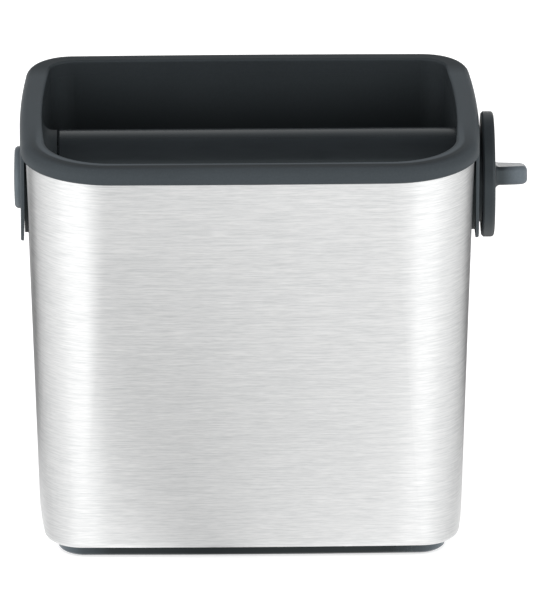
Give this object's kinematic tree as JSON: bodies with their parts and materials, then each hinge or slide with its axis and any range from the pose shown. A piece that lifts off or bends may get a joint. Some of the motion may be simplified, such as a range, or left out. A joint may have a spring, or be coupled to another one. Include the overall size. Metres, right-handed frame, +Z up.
{
  "type": "espresso knock box",
  "caption": "Steel-clad knock box with a moulded tub, a rounded rim and a padded knock bar that pulls out sideways by its finger grip.",
  "frame": {"origin": "on the surface that the box stands on, under the middle of the body", "axes": "+X along the knock bar towards its grip, +Y to the rear of the box, +Z up"},
  "size_m": [0.1614, 0.1084, 0.1332],
  "materials": {
    "brushed_steel": "horizontally brushed",
    "tub_plastic": "satin moulded",
    "rim_plastic": "satin moulded",
    "base_plastic": "matt moulded",
    "foot_rubber": "matt",
    "screw_steel": "plated",
    "core_steel": "drawn tube",
    "sleeve_rubber": "satin",
    "grip_plastic": "satin moulded",
    "ring_rubber": "matt"
  },
  "bodies": {
    "box": {"steel_shell": "brushed_steel", "inner_tub": "tub_plastic", "top_rim": "rim_plastic", "base_plate": "base_plastic", "foot_pad": "foot_rubber", "base_screws": "screw_steel"},
    "bar_rings": {"plug_ring": "ring_rubber", "hub_ring": "ring_rubber"},
    "knock_bar": {"bar_core": "core_steel", "core_pins": "core_steel", "bar_sleeve": "sleeve_rubber", "end_plug": "grip_plastic", "bar_handle": "grip_plastic"}
  },
  "joints": [
    {"name": "bar_pull", "type": "slide", "parent": "box", "child": "bar_rings", "axis": [1, 0, 0], "range_m": [0, 0.15]},
    {"name": "bar_turn", "type": "hinge", "parent": "bar_rings", "child": "knock_bar", "pos_m": [0, 0, 0.1113], "axis": [1, 0, 0], "continuous": true}
  ]
}
